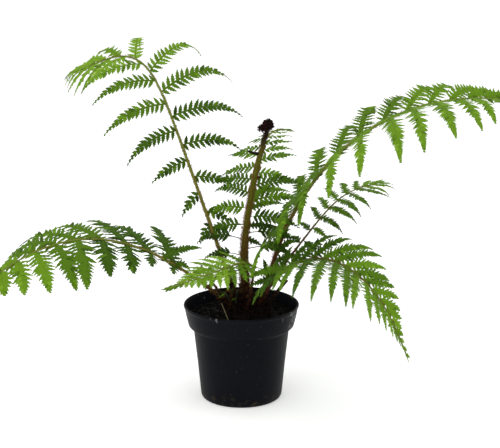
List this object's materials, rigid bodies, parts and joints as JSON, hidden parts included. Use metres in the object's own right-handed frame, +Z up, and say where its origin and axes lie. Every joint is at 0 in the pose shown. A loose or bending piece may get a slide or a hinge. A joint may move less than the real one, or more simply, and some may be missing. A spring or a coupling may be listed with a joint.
{
  "type": "potted young tree fern",
  "caption": "Young tree fern with arching feathery fronds and a coiled new shoot, growing from a short crown in a round nursery pot.",
  "frame": {"origin": "centre of the pot's flat underside", "axes": "+Z up, +X towards the high right frond's tip, +Y away from the picture's viewer"},
  "size_m": [0.7964, 0.4921, 0.5171],
  "materials": {
    "pot": "blue-black moulded plastic with a soft sheen",
    "soil": "dark crumbly compost",
    "crown": "brown scaly crown",
    "stalk": "olive-brown hairy stalk",
    "leaf": "soft green fern leaf",
    "pale_leaf": "pale lime young fern leaf"
  },
  "bodies": {
    "root": {"pot": "pot", "soil": "soil", "crown": "crown", "crozier": "stalk", "old_stalk": "stalk", "tall_left_frond_inner": "leaf", "tall_left_frond_outer": "leaf", "back_frond": "leaf", "high_right_frond_inner": "leaf", "high_right_frond_outer": "leaf", "low_right_frond_inner": "leaf", "low_right_frond_outer": "leaf", "mid_right_frond": "leaf", "low_left_frond_inner": "leaf", "low_left_frond_outer": "leaf", "pale_front_frond": "pale_leaf", "small_left_frond": "leaf", "young_frond": "leaf"}
  },
  "joints": []
}
